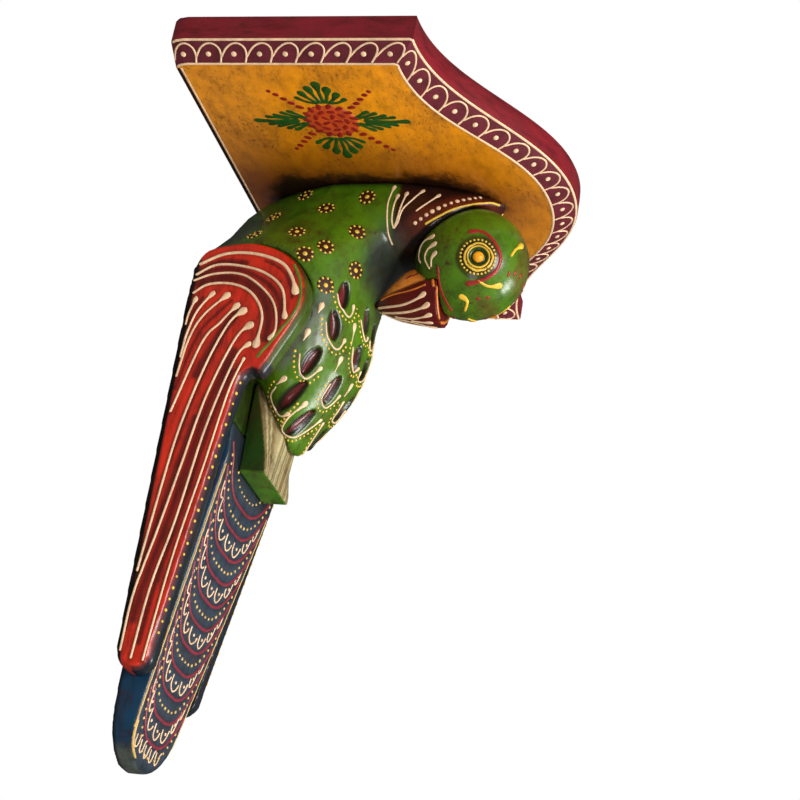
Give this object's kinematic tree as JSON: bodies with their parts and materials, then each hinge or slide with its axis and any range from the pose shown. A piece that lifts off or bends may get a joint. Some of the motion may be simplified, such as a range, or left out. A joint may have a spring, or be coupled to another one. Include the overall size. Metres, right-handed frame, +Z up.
{
  "type": "wall bracket",
  "caption": "Carved and painted wooden parrot wall bracket: a bird with a long tail and bowed head carries a small wavy-fronted shelf, and its flat back hangs on the wall.",
  "frame": {"origin": "on the flat back in the wall plane, on the bracket's middle plane, 90 mm below the top of the shelf", "axes": "+Z up, +Y into the wall, -Y out into the room, +X to the right of someone facing the bracket"},
  "size_m": [0.25, 0.1607, 0.305],
  "materials": {
    "ochre_paint": "gloss lacquer over ochre paint",
    "green_paint": "gloss lacquer over green paint",
    "dark_green_paint": "gloss lacquer over dark green paint",
    "red_paint": "gloss lacquer over red paint",
    "slate_blue_paint": "gloss lacquer over slate blue paint",
    "maroon_paint": "gloss lacquer over maroon paint",
    "orange_paint": "gloss lacquer over orange paint",
    "yellow_paint": "gloss lacquer over yellow paint",
    "raw_wood": "bare turned hardwood",
    "zinc_steel": "zinc-plated steel"
  },
  "bodies": {
    "root": {"shelf_board": "ochre_paint", "body": "green_paint", "head": "green_paint", "upper_beak": "maroon_paint", "lower_beak": "orange_paint", "tail": "slate_blue_paint", "perch_block": "dark_green_paint", "neck_dowel": "raw_wood", "perch_dowel": "raw_wood", "shelf_screw_1": "zinc_steel", "shelf_plug_1": "raw_wood", "shelf_screw_2": "zinc_steel", "shelf_plug_2": "raw_wood", "shelf_screw_3": "zinc_steel", "shelf_plug_3": "raw_wood", "left_wing": "red_paint", "left_eye": "yellow_paint", "left_tail_dowel": "raw_wood", "left_wing_dowel_1": "raw_wood", "left_hanger_screw_1": "zinc_steel", "left_wing_dowel_2": "raw_wood", "left_hanger_screw_2": "zinc_steel", "left_hanger_plate": "zinc_steel", "right_wing": "red_paint", "right_eye": "yellow_paint", "right_tail_dowel": "raw_wood", "right_wing_dowel_1": "raw_wood", "right_hanger_screw_1": "zinc_steel", "right_wing_dowel_2": "raw_wood", "right_hanger_screw_2": "zinc_steel", "right_hanger_plate": "zinc_steel"}
  },
  "joints": []
}
